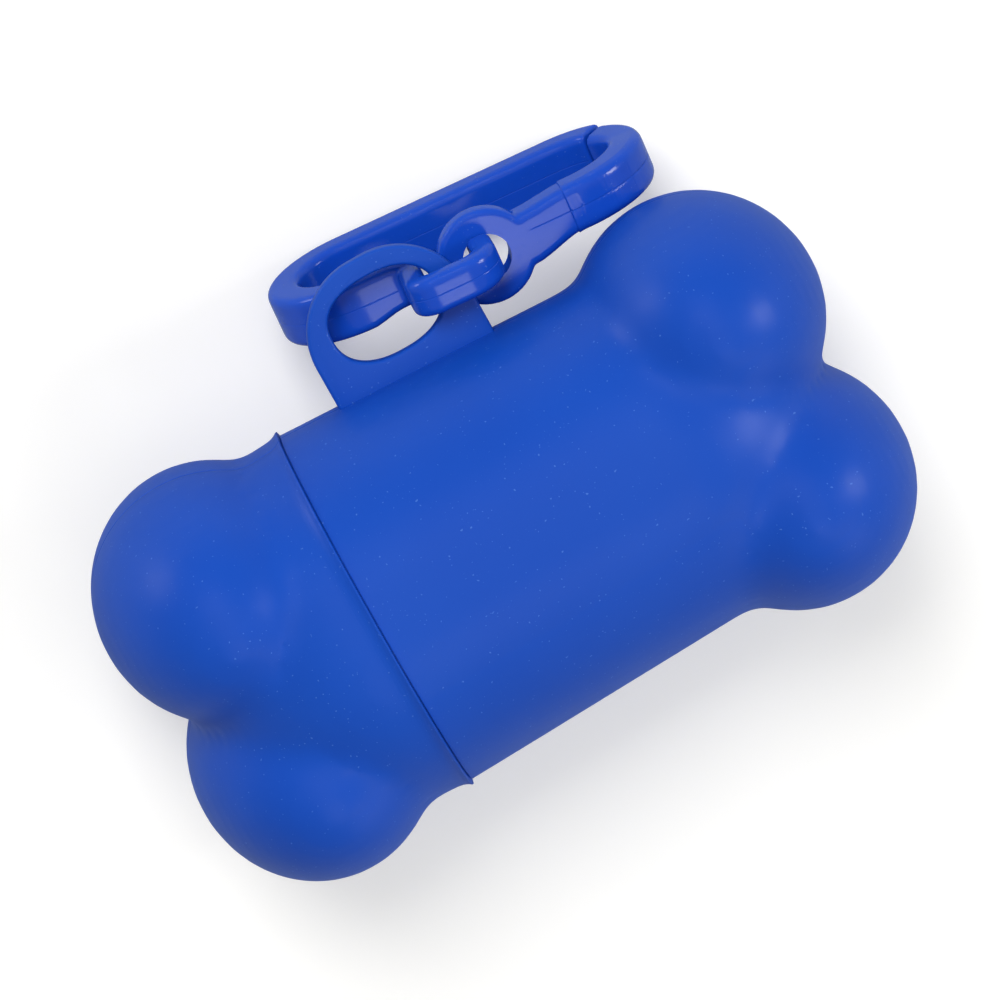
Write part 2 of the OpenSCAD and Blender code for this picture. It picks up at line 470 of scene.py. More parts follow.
@dataclass(frozen=True)
class MouldedPlastic:
    """Injection-moulded blue plastic, with soft flow marks and fine specks.

    The colour drifts slowly over the part, tiny pale specks lie on it, and
    the skin has a fine satin grain that breaks the reflections.
    """

    name: str
    colour: tuple[float, float, float]
    drift: tuple[float, float, float]
    speck: tuple[float, float, float]
    roughness: tuple[float, float]
    speck_share: float
    grain: float
    waviness: float
    coat: float
    shine: float

    def make(self) -> bpy.types.Material:
        """Build the material.

        Returns:
            The finished material.
        """
        sheet = NodeSheet(self.name)
        shader = sheet.shader
        drift = sheet.ramp(sheet.noise(38, 2), 0.35, 0.65, 0.0, 1.0)
        flow = sheet.ramp(sheet.noise(120, 4, 0.6, (0.35, 1, 1)), 0.3, 0.7, 0.0, 0.35)
        base = sheet.blend(drift, self.colour, self.drift)
        base = sheet.blend(flow, base, self.colour)
        grains = sheet.noise(3600, 0, 0.5)
        specks = sheet.ramp(grains, 0.80, 0.84, 0.0, self.speck_share)
        base = sheet.blend(specks, base, self.speck)
        sheet.link(base, shader.inputs["Base Color"])
        low, high = self.roughness
        rough = sheet.ramp(sheet.noise(90, 5, 0.6), 0.3, 0.7, low, high)
        sheet.link(rough, shader.inputs["Roughness"])
        shader.inputs["IOR"].default_value = 1.49
        shader.inputs["Specular IOR Level"].default_value = self.shine
        shader.inputs["Coat Weight"].default_value = self.coat
        shader.inputs["Coat Roughness"].default_value = 0.16
        sheet.relief([(sheet.noise(150, 2), self.waviness),
                      (sheet.noise(2600, 2), self.grain),
                      (sheet.ramp(grains, 0.79, 0.84, 0.0, 1.0), 0.006)])
        return sheet.material


@dataclass(frozen=True)
class BagFilm:
    """Thin polythene film wound in layers, with a slight sheen and pulls."""

    colour: tuple[float, float, float] = (0.016, 0.017, 0.020)
    paler: tuple[float, float, float] = (0.045, 0.047, 0.055)

    def make(self) -> bpy.types.Material:
        """Build the material.

        Returns:
            The finished material.
        """
        sheet = NodeSheet("Bag film")
        pulls = sheet.noise(220, 4, 0.6, (0.12, 1, 1))
        base = sheet.blend(sheet.ramp(pulls, 0.35, 0.7, 0.0, 1.0), self.colour, self.paler)
        sheet.link(base, sheet.shader.inputs["Base Color"])
        rough = sheet.ramp(sheet.noise(300, 3), 0.3, 0.7, 0.3, 0.46)
        sheet.link(rough, sheet.shader.inputs["Roughness"])
        sheet.shader.inputs["Sheen Weight"].default_value = 0.15
        sheet.relief([(pulls, 0.12), (sheet.noise(900, 3, 0.6, (0.3, 1, 1)), 0.03)])
        return sheet.material


@dataclass(frozen=True)
class CorePaper:
    """Grey-brown core board, with fibres and a few darker flecks."""

    colour: tuple[float, float, float] = (0.36, 0.235, 0.135)
    darker: tuple[float, float, float] = (0.20, 0.125, 0.07)

    def make(self) -> bpy.types.Material:
        """Build the material.

        Returns:
            The finished material.
        """
        sheet = NodeSheet("Core board")
        fibres = sheet.noise(900, 4, 0.65, (0.25, 1, 1))
        base = sheet.blend(sheet.ramp(fibres, 0.4, 0.7, 0.0, 0.7), self.colour, self.darker)
        flecks = sheet.ramp(sheet.noise(1600, 1), 0.68, 0.74, 0.0, 0.8)
        base = sheet.blend(flecks, base, self.darker)
        sheet.link(base, sheet.shader.inputs["Base Color"])
        rough = sheet.ramp(fibres, 0.3, 0.7, 0.8, 0.92)
        sheet.link(rough, sheet.shader.inputs["Roughness"])
        sheet.relief([(fibres, 0.05)])
        return sheet.material


SHELL_PLASTIC = MouldedPlastic(
    name="Bone plastic", colour=(0.004, 0.065, 0.455), drift=(0.005, 0.073, 0.485),
    speck=(0.11, 0.27, 0.72), roughness=(0.36, 0.42), speck_share=0.45, grain=0.004,
    waviness=0.02, coat=0.0, shine=0.38)
CLIP_PLASTIC = MouldedPlastic(
    name="Clip plastic", colour=(0.005, 0.064, 0.51), drift=(0.007, 0.072, 0.54),
    speck=(0.08, 0.20, 0.60), roughness=(0.15, 0.21), speck_share=0.3, grain=0.003,
    waviness=0.05, coat=0.15, shine=0.5)


class Finishes:
    """The finished materials, made once and shared by the pieces."""

    def __init__(self) -> None:
        """Make one material for each slot."""
        self._made = {
            Slot.SHELL: SHELL_PLASTIC.make(),
            Slot.CLIP: CLIP_PLASTIC.make(),
            Slot.FILM: BagFilm().make(),
            Slot.CARD: CorePaper().make(),
        }

    def give(self, obj: Obj, slot: Slot) -> None:
        """Put a slot's finish on a piece.

        Args:
            obj: The piece.
            slot: Its slot in the record.
        """
        obj.data.materials.clear()
        obj.data.materials.append(self._made[slot])
        for face in obj.data.polygons:
            face.material_index = 0


def hand_over(obj: Obj, body: str, node: str, slot: Slot,
              finishes: Finishes) -> None:
    """Dress a finished piece, tie it to its body and report it.

    Args:
        obj: The finished piece.
        body: The body that it moves with.
        node: The CAD node that it stands for.
        slot: Its material slot.
        finishes: The shared materials.
    """
    finishes.give(obj, slot)
    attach(obj, body)
    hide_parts(node)
    LOG.info("%s: %d faces, rides on %s", obj.name, len(obj.data.polygons), body)


# ---- The bone ----

@dataclass
class MouldedSkin:
    """One half of the bone as a hollow moulding, open at its rim.

    The sizes are in millimetres, measured along the bone from its middle.
    side is 1 for the body and -1 for the cap. Smoothing draws the solids in
    a little, so they start larger by the three amounts named grow.
    """

    name: str
    side: int
    rim_x: float
    rim_r: float
    dome_x: float
    dome_r: float
    lip_rise: float = 0.0
    lip_w: float = 2.2
    lip_flat: float = 0.15
    lip_steps: int = 6
    voxel: float = 0.9
    passes: int = 5
    grow_barrel: float = 0.03
    grow_dome: float = 0.06
    grow_bulb: float = 0.09
    soft_passes: int = 22
    tight_z: float = 1.0
    reach: float = 5.0
    notch_y: float = 4.0
    notch_share: float = 0.4
    soft_z: float = 10.0
    spare: float = 7.0
    line_w: float = 0.24
    line_depth: float = 0.07
    rim_edge: float = 0.14

    def build(self) -> Obj:
        """Model the skin round the bone's own axis.

        Returns:
            The finished skin, not yet put in its place.
        """
        skin = self._solid()
        fuse(skin, self.voxel, self.passes)
        self._melt_creases(skin)
        finish_with(skin, "SUBSURF", levels=1, render_levels=1)
        with editing(skin):
            slice_at((self.side * self.rim_x, 0, 0), (-self.side, 0, 0), clear=True)
        crease_line(skin, 2, self.line_w, self.line_depth)
        if self.lip_rise:
            self._raise_lip(skin)
        finish_with(skin, "SOLIDIFY", thickness=WALL * MM, offset=-1, use_even_offset=True)
        round_sharp(skin, self.rim_edge, 65, 2)
        return skin

    def _solid(self) -> Obj:
        """Join the barrel, the dome and the two bulbs as overlapping solids."""
        start = self.rim_x - self.spare
        length = self.dome_x - start
        slope = (self.rim_r - self.dome_r) / (self.dome_x - self.rim_x)
        bpy.ops.mesh.primitive_cone_add(
            vertices=ROUND_STEPS, depth=length * MM,
            radius1=(self.rim_r + slope * self.spare + self.grow_barrel) * MM,
            radius2=(self.dome_r + self.grow_barrel) * MM,
            location=(self.side * (start + length / 2) * MM, 0, 0),
            rotation=(0, self.side * math.pi / 2, 0))
        parts = [named("barrel")]
        parts.append(self._ball("dome", self.dome_x, 0, self.dome_r + self.grow_dome))
        for across in (-1, 1):
            bulb = self._ball("bulb", BULB_X, across * BULB_Y, BULB_R + self.grow_bulb)
            bulb.scale.z = BULB_DEPTH / BULB_R
            parts.append(bulb)
        skin = joined(self.name, parts)
        bpy.ops.object.transform_apply()
        return skin

    def _ball(self, name: str, along: float, across: float, radius: float
              ) -> Obj:
        """Add one ball of the bone's form.

        Args:
            name: Name of the ball.
            along: Its place along the bone, without the side's sign.
            across: Its place across the bone.
            radius: Its radius.

        Returns:
            The new ball.
        """
        bpy.ops.mesh.primitive_uv_sphere_add(
            segments=ROUND_STEPS, ring_count=ROUND_STEPS // 2, radius=radius * MM,
            location=(self.side * along * MM, across * MM, 0))
        return named(name)

    def _melt_creases(self, skin: Obj) -> None:
        """Soften the creases away from the parting plane, where they are wide."""
        group = skin.vertex_groups.new(name="soft")
        for vert in skin.data.vertices:
            height = abs(vert.co.z) / MM
            share = (height - self.tight_z) / (self.soft_z - self.tight_z)
            if abs(vert.co.y) < self.notch_y * MM:
                share = max(share, self.notch_share)
            share = min(1.0, share) * (1 - self._past_crease(vert.co / MM) / self.reach)
            group.add([vert.index], max(0.0, share), "REPLACE")
        finish_with(skin, "SMOOTH", factor=0.5, iterations=self.soft_passes,
                    vertex_group=group.name)
        skin.vertex_groups.clear()

    def _past_crease(self, place: Vector) -> float:
        """How much farther than its own form the next form of the bone is.

        Args:
            place: A place on the skin, in millimetres.

        Returns:
            The difference of the two distances, 0 in a crease.
        """
        along = place.x * self.side
        share = (along - self.rim_x) / (self.dome_x - self.rim_x)
        radius = self.rim_r + (self.dome_r - self.rim_r) * min(1.0, share)
        past = max(0.0, along - self.dome_x)
        away = [Vector((past, place.y, place.z)).length - radius]
        for across in (-BULB_Y, BULB_Y):
            offset = Vector((along - BULB_X, place.y - across, place.z * BULB_R / BULB_DEPTH))
            away.append(offset.length - BULB_R)
        nearest, following, _ = sorted(away)
        return following - nearest

    def _raise_lip(self, skin: Obj) -> None:
        """Flare the rim outwards, in a curve that dies out behind it."""
        with editing(skin):
            for i in range(self.lip_steps):
                edge = self.rim_x + self.lip_w * (i / self.lip_steps) ** 1.5
                slice_at((self.side * (edge + self.lip_flat), 0, 0), (1, 0, 0))
        for vert in skin.data.vertices:
            past = (vert.co.x * self.side / MM - self.rim_x - self.lip_flat) / self.lip_w
            share = 1 - max(0.0, min(1.0, past))
            across = Vector((0, vert.co.y, vert.co.z))
            vert.co += across.normalized() * self.lip_rise * share ** 4 * MM


@dataclass
class BailPlate:
    """The flat plate with an oval hole that the clip hangs in."""

    width: float = 18.3
    top: float = PLATE_TOP
    foot: float = 19.4
    thick: float = 2.0
    corner: float = 8.3
    middle: float = 0.45
    hole_len: float = 12.4
    hole_h: float = 8.8
    hole_y: float = 27.2
    fullness: float = 0.85
    edge: float = 0.4

    def build(self) -> Obj:
        """Model the plate in the bone's parting plane.

        Returns:
            The plate, round the bone's own axis.
        """
        plate = block("BailPlate", (self.width, self.top - self.foot, self.thick),
                      (self.middle, (self.top + self.foot) / 2, 0))
        round_along(plate, 2, self.corner, 24, lambda mid: mid.y > self.hole_y * MM)
        cut_with(plate, self._hole())
        round_sharp(plate, self.edge, 50)
        return plate

    def _hole(self) -> Obj:
        """Make the solid that opens the hole, an oval with full ends."""
        bpy.ops.mesh.primitive_cylinder_add(
            vertices=128, radius=MM, depth=3 * self.thick * MM,
            location=(self.middle * MM, self.hole_y * MM, 0))
        hole = named("hole")
        half = (self.hole_len / 2, self.hole_h / 2)
        for vert in hole.data.vertices:
            for i in range(2):
                share = vert.co[i] / MM
                vert.co[i] = math.copysign(abs(share) ** self.fullness, share) * half[i] * MM
        return hole


@dataclass
class SlotRim:
    """The slot underneath that the bags leave through, and its flat rim."""

    length: float = 28.0
    width: float = 6.0
    band: float = 3.2
    middle: float = 2.0
    face: float = REST_Z
    sunk: float = 18.9
    edge: float = 0.35
    cut_h: float = 8.0
    cut_lift: float = 3.0
    cut_flat: float = 0.2

    def cutter(self) -> Obj:
        """Make the solid that opens the slot.

        Returns:
            A prism with the slot's outline, through the wall.
        """
        tool = block("slot", (self.length, self.width, self.cut_h),
                     (self.middle, 0, -self.face + self.cut_lift))
        round_along(tool, 2, self.width / 2 - self.cut_flat, 10)
        return tool

    def build(self) -> Obj:
        """Model the rim that the dispenser rests on.

        Returns:
            The rim, round the bone's own axis.
        """
        depth = self.face - self.sunk
        rim = block("SlotRim", (self.length + 2 * self.band, self.width + 2 * self.band, depth),
                    (self.middle, 0, -self.face + depth / 2))
        round_along(rim, 2, self.band, 10)
        cut_with(rim, self.cutter())
        round_sharp(rim, self.edge, 50)
        return rim


@dataclass
class Neck:
    """The round neck that the cap pushes over, flared into the body's wall."""

    start: float = -20.6
    end: float = -12.6
    inner_r: float = 17.4
    outer_r: float = 19.1
    flare_r: float = 19.6
    stop: float = 0.1
    stop_r: float = 20.5
    stop_w: float = 0.4
    lead: float = 0.4
    edge: float = 0.2

    def build(self) -> Obj:
        """Turn the neck's section round the bone's axis.

        Returns:
            The neck, round the bone's own axis.
        """
        seam = -SEAM_X
        profile = [
            (self.start, self.inner_r + self.edge), (self.start, self.outer_r - self.lead),
            (self.start + 0.12, self.outer_r - 0.15), (self.start + self.lead, self.outer_r),
            (seam - self.stop, self.outer_r), (seam - self.stop, self.stop_r),
            (seam + self.stop_w, self.stop_r), (seam + self.stop_w, self.flare_r),
            (self.end, self.flare_r), (self.end, self.inner_r),
            (self.start + self.edge, self.inner_r)]
        return ring("Neck", profile, ROUND_STEPS)


@dataclass
class BoneBody:
    """The bone's body: skin, neck, bail plate and slot rim in one moulding."""

    skin: MouldedSkin = field(default_factory=lambda: MouldedSkin(
        name="BodySkin", side=1, rim_x=-SEAM_X, rim_r=20.9, dome_x=18.5, dome_r=19.6))
    plate: BailPlate = field(default_factory=BailPlate)
    slot: SlotRim = field(default_factory=SlotRim)
    neck: Neck = field(default_factory=Neck)

    def build(self) -> list[Dressed]:
        """Model all pieces of the body in their places.

        Returns:
            The pieces, all of the shell.
        """
        skin = self.skin.build()
        cut_with(skin, self.slot.cutter())
        pieces = [skin, self.neck.build(), self.plate.build(), self.slot.build()]
        place = Matrix.Translation(BONE_CENTRE)
        for piece in pieces:
            settle(piece, place)
            soften_shading(piece)
        soften_shading(skin, SKIN_ANGLE)
        return [(piece, "shell", "body_shell", Slot.SHELL) for piece in pieces]


@dataclass
class EndCap:
    """The pull-off cap: a domed skin with a raised lip, a little turned."""

    turn: float = 8.0
    skin: MouldedSkin = field(default_factory=lambda: MouldedSkin(
        name="CapSkin", side=-1, rim_x=SEAM_X + SEAM_GAP, rim_r=21.05, dome_x=17.4,
        dome_r=20.85, lip_rise=0.38))

    def build(self) -> list[Dressed]:
        """Model the cap in its place.

        Returns:
            Its one piece.
        """
        skin = self.skin.build()
        place = Matrix.Translation(BONE_CENTRE) @ Matrix.Rotation(math.radians(self.turn), 4, "X")
        settle(skin, place)
        soften_shading(skin, SKIN_ANGLE)
        return [(skin, "cap", "end_cap", Slot.SHELL)]


# ---- The clip ----
# It is modelled in its own directions: X along the loop, Y along the loop's axis
# and Z towards the viewer.

@dataclass
class ClipForm:
    """Sizes that the clip's frame and gate share, in millimetres."""

    length: float = 43.7
    width: float = 18.6
    band_t: float = 3.8
    band_h: float = 5.8
    rounding: float = 0.85
    left: float = -18.4
    hook_room: float = 2.3
    latch_angle: float = 48.0
    latch_gap: float = 0.35
    tongue_t: float = 1.4
    tongue_h: float = 2.6
    tongue_angle: float = 14.0
    tongue_root: float = 6.0
    pivot_u: float = 4.6
    pivot_v: float = -0.8
    eye_hole_r: float = 2.6
    eye_t: float = 2.4
    strip_x: float = 8.225
    hang_y: float = 27.3
    lean: float = 8.8
    yaw: float = 4.5
    voxel: float = 0.2
    passes: int = 5

    @property
    def near_w(self) -> float:
        """Height of the near side, just behind the plate."""
        return -self.hook_room - 0.1

    @property
    def mid_r(self) -> float:
        """Radius of the band's middle in the loop's round ends."""
        return (self.width - self.band_t) / 2

    @property
    def mid_w(self) -> float:
        """Height of the loop's middle."""
        return self.near_w - self.width / 2

    @property
    def left_u(self) -> float:
        """Place of the left round end's centre."""
        return self.left + self.width / 2

    @property
    def right_u(self) -> float:
        """Place of the right round end's centre."""
        return self.left + self.length - self.width / 2

    @property
    def gap_angle(self) -> float:
        """Angle of the gap between frame and gate, in degrees."""
        return math.degrees(math.asin(self.latch_gap / self.mid_r))

    def place(self) -> Matrix:
        """Where the clip hangs on the plate.

        Returns:
            The move from the clip's directions to the part's.
        """
        hang = Matrix.Translation(BONE_CENTRE + Vector((self.strip_x, self.hang_y, 0)) * MM)
        yaw = Matrix.Rotation(math.radians(-self.yaw), 4, "Z")
        return hang @ yaw @ Matrix.Rotation(math.radians(self.lean), 4, "X")

    def bar(self, name: str, size: Sequence[float], centre: Sequence[float], axis: int
            ) -> Obj:
        """Add a straight bar with rounded long edges.

        Args:
            name: Name of the bar.
            size: Its size along X, Y and Z.
            centre: Its middle.
            axis: Index of the direction that it runs in.

        Returns:
            The bar.
        """
        obj = block(name, size, centre)
        round_along(obj, axis, self.rounding, 4)
        return obj

    def arm(self, name: str, ends: tuple[float, float], height: float, steps: int) -> Obj:
        """Lay a straight arm behind the plate, in slices that can be shaped.

        Args:
            name: Name of the arm.
            ends: Where it starts and ends along X.
            height: Its height along Y.
            steps: Number of slices.

        Returns:
            The arm.
        """
        start, end = ends
        arm = block(name, (end - start, height, self.band_t),
                    ((start + end) / 2, 0, self.near_w - self.band_t / 2))
        with editing(arm):
            for i in range(1, steps):
                slice_at((start + (end - start) * i / steps, 0, 0), (1, 0, 0))
        return arm

    def round_sides(self, obj: Obj) -> None:
        """Round the four long edges of an arm, and leave its ends sharp."""
        with editing(obj):
            select_edges(lambda a, b: abs(a.x - b.x) > 0.1 * MM)
            bpy.ops.mesh.bevel(offset=self.rounding * MM, segments=4, affect="EDGES")

    def bend(self, name: str, centre: tuple[float, float], radius: float,
             sweep: tuple[float, float], section: tuple[float, float],
             rise: float = 0.0, rounding: float | None = None) -> Obj:
        """Spin a rounded section round the Y direction.

        Args:
            name: Name of the bend.
            centre: Its centre along X and Z.
            radius: Radius of its middle line.
            sweep: Start and extent in degrees, from X towards Z.
            section: Thickness across the bend and height along Y.
            rise: Shift along Y.
            rounding: Radius of the section's corners.

        Returns:
            The bend.
        """
        bpy.ops.mesh.primitive_plane_add(size=1)
        obj = named(name)
        obj.scale = (section[0] * MM, section[1] * MM, 1)
        obj.location = (radius * MM, 0, 0)
        bpy.ops.object.transform_apply()
        corner = self.rounding if rounding is None else rounding
        with editing(obj):
            bpy.ops.mesh.select_all(action="SELECT")
            bpy.ops.mesh.bevel(offset=corner * MM, segments=4, affect="VERTICES")
            bpy.ops.mesh.select_all(action="SELECT")
            bpy.ops.mesh.spin(steps=max(4, round(sweep[1] / 4)), angle=math.radians(sweep[1]),
                              center=(0, 0, 0), axis=(0, 1, 0))
        obj.rotation_euler = (0, -math.radians(sweep[0]), 0)
        obj.location = (centre[0] * MM, rise * MM, centre[1] * MM)
        bpy.ops.object.transform_apply()
        face_outwards(obj)
        return obj

    def tongue(self, grow: float, past: float) -> Obj:
        """Spin the tongue on the frame's tip, or a larger cutter for it.

        Args:
            grow: Room round the tongue on each side.
            past: Angle past the tongue's end, in degrees.

        Returns:
            The tongue.
        """
        reach = self.tongue_root + self.gap_angle + self.tongue_angle + past
        deep = self.band_h if grow > 0 else 0.0
        return self.bend("tongue", (self.right_u, self.mid_w), self.mid_r,
                         (-self.latch_angle - self.tongue_root, reach),
                         (self.tongue_t + 2 * grow, self.tongue_h + 2 * grow + deep),
                         -deep / 2, 0.3)

    def melt(self, name: str, parts: Sequence[Obj]) -> Obj:
        """Fuse overlapping solids into one skin with soft inner corners.

        Args:
            name: Name of the result.
            parts: The solids.

        Returns:
            The fused piece.
        """
        piece = joined(name, parts)
        fuse(piece, self.voxel, self.passes)
        return piece


@dataclass
class ClipFrame:
    """The clip's open loop with the hook that goes through the plate."""

    form: ClipForm
    hook_t: float = 2.6
    hook_h: float = 4.2
    root_r: float = 0.4
    nose_r: float = 1.4
    peg_u: float = 4.4
    hollow: float = 0.35
    taper: float = 0.6
    peg_h: float = 3.2
    peg_v: float = -0.4
    peg_past: float = 0.5
    shoulder_gap: float = 0.3
    lap: float = 0.15
    arm_steps: int = 10

    def build(self) -> Obj:
        """Model the frame and hang it on the plate.

        Returns:
            The frame in its place.
        """
        form = self.form
        piece = form.melt("ClipFrame", [*self._loop(), *self._hook(), form.tongue(0, 0)])
        crease_line(piece, 1, 0.18, 0.035)
        settle(piece, form.place())
        soften_shading(piece)
        return piece

    def _loop(self) -> list[Obj]:
        """Lay the loop's two straight sides and its two ends."""
        form = self.form
        band = (form.band_t, form.band_h)
        straight = form.right_u - form.left_u
        far = form.bar("far", (straight + 0.2, form.band_h, form.band_t),
                       (form.left_u + straight / 2, 0, form.mid_w - form.mid_r), 0)
        return [
            form.bend("left", (form.left_u, form.mid_w), form.mid_r, (89, 182), band),
            form.bend("right", (form.right_u, form.mid_w), form.mid_r,
                      (-91, 91 - form.latch_angle), band),
            far, self._near_arm()]

    def _near_arm(self) -> Obj:
        """Lay the short arm, a little hollowed below, up to the hook's leg."""
        form = self.form
        start, end = form.left_u - 0.1, -form.hook_room
        arm = form.arm("near", (start, end), form.band_h, self.arm_steps)
        for vert in arm.data.vertices:
            share = (vert.co.x / MM - start) / (end - start)
            if vert.co.y < 0:
                vert.co.y += (self.hollow * math.sin(math.pi * share) ** 2
                              + self.taper * share) * MM
            else:
                vert.co.y -= self.taper * max(0.0, 2 * share - 1) * MM
        form.round_sides(arm)
        return arm

    def _hook(self) -> list[Obj]:
        """Lay the hook round the plate's strip, with its nose, shoulder and peg."""
        form = self.form
        thick, high = self.hook_t, self.hook_h
        section = (thick, high)
        mid = form.hook_room + thick / 2
        root, nose = self.root_r + thick / 2, self.nose_r + thick / 2
        near = form.near_w - form.band_t / 2
        shoulder = form.near_w + self.shoulder_gap
        end = form.near_w - form.eye_t - self.peg_past
        lap = self.lap

        def post(name: str, low: float, high_end: float, at: float) -> Obj:
            """Lay a bar that runs towards the viewer."""
            return form.bar(name, (thick, high, high_end - low),
                            (at, 0, (low + high_end) / 2), 2)

        across = form.bar("across", (self.peg_u - nose + mid - root + 2 * lap, high, thick),
                          ((self.peg_u - nose - mid + root) / 2, 0, mid), 0)
        peg = form.bar("peg", (thick, self.peg_h, shoulder + lap - end),
                       (self.peg_u, self.peg_v, (shoulder + lap + end) / 2), 2)
        return [
            post("leg", near - 1, mid - root + lap, -mid),
            form.bend("root", (root - mid, mid - root), root, (90, 90), section),
            across,
            form.bend("nose", (self.peg_u - nose, mid - nose), nose, (0, 90), section),
            post("shoulder", shoulder, mid - nose + lap, self.peg_u), peg]


@dataclass
class ClipGate:
    """The clip's gate: an eye on the hook's nose, an arm and a head."""

    form: ClipForm
    eye_r: float = 5.3
    eye_edge: float = 0.5
    arm_h: float = 6.0
    arm_v: float = -1.0
    arm_steps: int = 16
    head_h: float = 5.2
    rise_from: float = 8.8
    rise_to: float = 15.6
    pocket_gap: float = 0.5
    pocket_past: float = 4.0
    pad_u: float = 14.6
    pad_slope: float = 0.12
    pad_rise: float = 0.16

    def build(self) -> Obj:
        """Model the gate and put it on the hook's nose.

        Returns:
            The gate in its place.
        """
        form = self.form
        start = form.gap_angle - form.latch_angle
        head = form.bend("turn", (form.right_u, form.mid_w), form.mid_r,
                         (start, 91 - start), (form.band_t, self.head_h))
        piece = form.melt("ClipGate", [head, self._arm(), self._eye()])
        cut_with(piece, self._post(form.eye_hole_r))
        crease_line(piece, 1, 0.18, 0.035, form.pivot_u + self.eye_r)
        self._raise_pad(piece)
        cut_with(piece, form.tongue(self.pocket_gap, self.pocket_past))
        settle(piece, form.place())
        soften_shading(piece)
        return piece

    def _raise_pad(self, piece: Obj) -> None:
        """Raise the thumb pad on the head, with a short slope at its edge."""
        form = self.form
        with editing(piece):
            for step in (0.0, self.pad_slope):
                slice_at((self.pad_u + step, 0, 0), (1, 0, 0))
        for vert in piece.data.vertices:
            if vert.co.x > (self.pad_u + self.pad_slope / 2) * MM:
                share = (vert.co.z / MM - form.mid_w) / form.mid_r
                vert.co += vert.normal * max(0.0, min(1.0, 2 * share)) * self.pad_rise * MM

    def _arm(self) -> Obj:
        """Lay the arm, which rises smoothly from the eye to the head."""
        form = self.form
        start, end = form.pivot_u + form.eye_hole_r + 1.2, form.right_u + 0.1
        arm = form.arm("arm", (start, end), self.arm_h, self.arm_steps)
        for vert in arm.data.vertices:
            share = (vert.co.x / MM - self.rise_from) / (self.rise_to - self.rise_from)
            share = max(0.0, min(1.0, share))
            share = share * share * (3 - 2 * share)
            middle = self.arm_v * (1 - share)
            tall = self.arm_h + (self.head_h - self.arm_h) * share
            vert.co.y = (middle + math.copysign(tall / 2, vert.co.y)) * MM
        form.round_sides(arm)
        return arm

    def _post(self, radius: float, depth: float = 20.0, low: float = -16.0
              ) -> Obj:
        """Add a round post on the gate's pivot.

        Args:
            radius: Its radius.
            depth: Its height.
            low: Where it starts.

        Returns:
            The post.
        """
        form = self.form
        bpy.ops.mesh.primitive_cylinder_add(
            vertices=96, radius=radius * MM, depth=depth * MM,
            location=(form.pivot_u * MM, form.pivot_v * MM, (low + depth / 2) * MM))
        obj = named("post")
        bpy.ops.object.transform_apply()
        return obj

    def _eye(self) -> Obj:
        """Lay the eye's disc, its edges a little rounded."""
        form = self.form
        eye = self._post(self.eye_r, form.eye_t, form.near_w - form.eye_t)
        round_sharp(eye, self.eye_edge, 60)
        return eye


@dataclass
class SnapClip:
    """The two-piece snap clip."""

    form: ClipForm = field(default_factory=ClipForm)

    def build(self) -> list[Dressed]:
        """Model the frame and the gate.

        Returns:
            The two pieces.
        """
        return [(ClipFrame(self.form).build(), "clip", "clip_frame", Slot.CLIP),
                (ClipGate(self.form).build(), "gate", "clip_gate", Slot.CLIP)]


# ---- The bags ----

